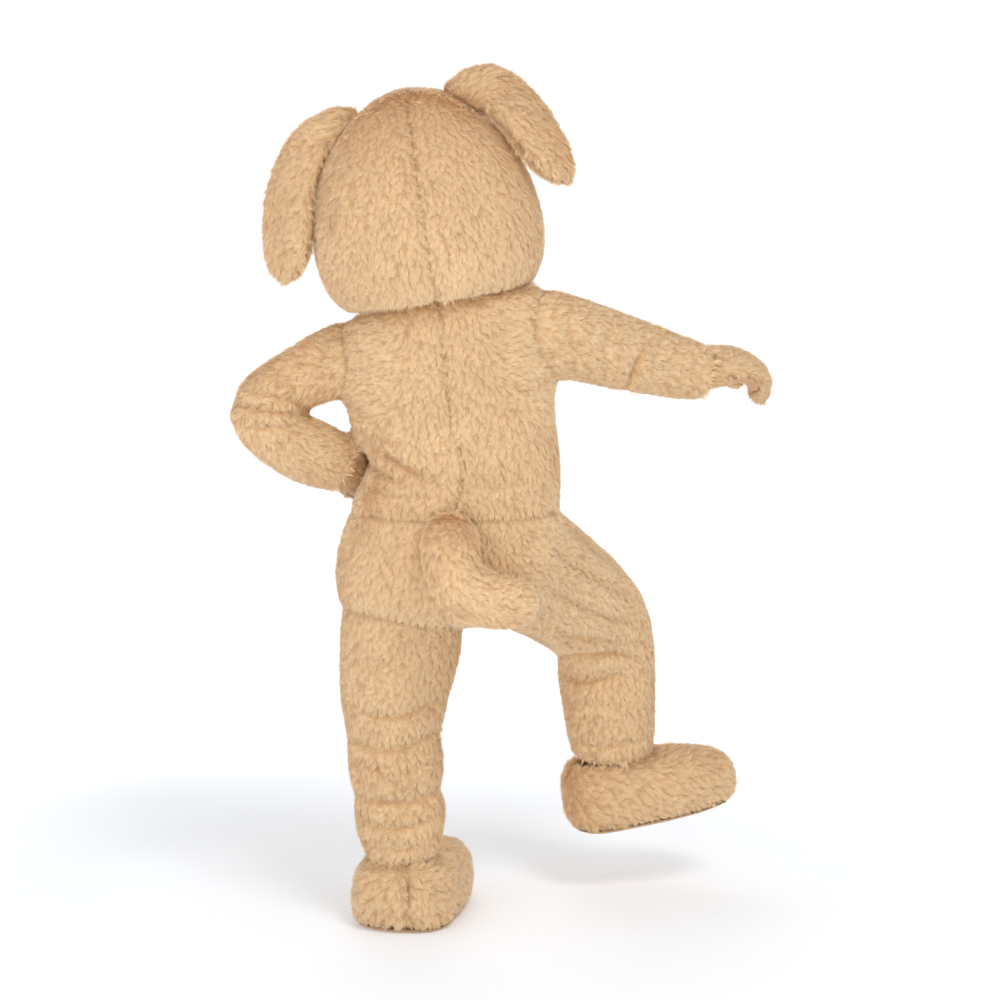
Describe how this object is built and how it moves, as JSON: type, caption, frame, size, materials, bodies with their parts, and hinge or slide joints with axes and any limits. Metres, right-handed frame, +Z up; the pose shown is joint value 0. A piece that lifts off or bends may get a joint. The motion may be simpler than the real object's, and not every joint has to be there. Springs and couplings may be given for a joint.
{
  "type": "dog mascot costume",
  "caption": "Full dog mascot costume of curly plush with floppy ears and a curled tail: hollow head, body, gloves and foot covers, built in a dance pose.",
  "frame": {"origin": "between the shoulders, in the middle of the neck opening, 1.4 m above the floor under the standing foot", "axes": "+Z up, the wearer faces -Y, +X is the wearer's left"},
  "size_m": [1.1875, 0.7318, 1.8664],
  "materials": {
    "plush": "curly plush, matt",
    "palm": "smooth short-napped cloth, matt",
    "gloss": "polished",
    "sole": "matt"
  },
  "bodies": {
    "root": {"head_back_left": "plush", "head_back_right": "plush", "head_face": "plush", "muzzle": "plush", "nose": "gloss", "eye_left": "gloss", "eye_right": "gloss", "ear_left_outer": "plush", "ear_left_inner": "plush", "ear_right_outer": "plush", "ear_right_inner": "plush", "body_back_left": "plush", "body_back_right": "plush", "body_front": "plush", "seat_back_left": "plush", "seat_back_right": "plush", "seat_front": "plush", "tail": "plush", "sleeve_left": "plush", "sleeve_right": "plush", "glove_left_back": "plush", "glove_left_palm": "palm", "glove_left_thumb": "plush", "glove_right_back": "plush", "glove_right_palm": "palm", "glove_right_thumb": "plush", "leg_left_back": "plush", "leg_left_front": "plush", "leg_right_back": "plush", "leg_right_front": "plush", "foot_left_upper": "plush", "foot_left_sole": "sole", "foot_right_upper": "plush", "foot_right_sole": "sole"}
  },
  "joints": []
}
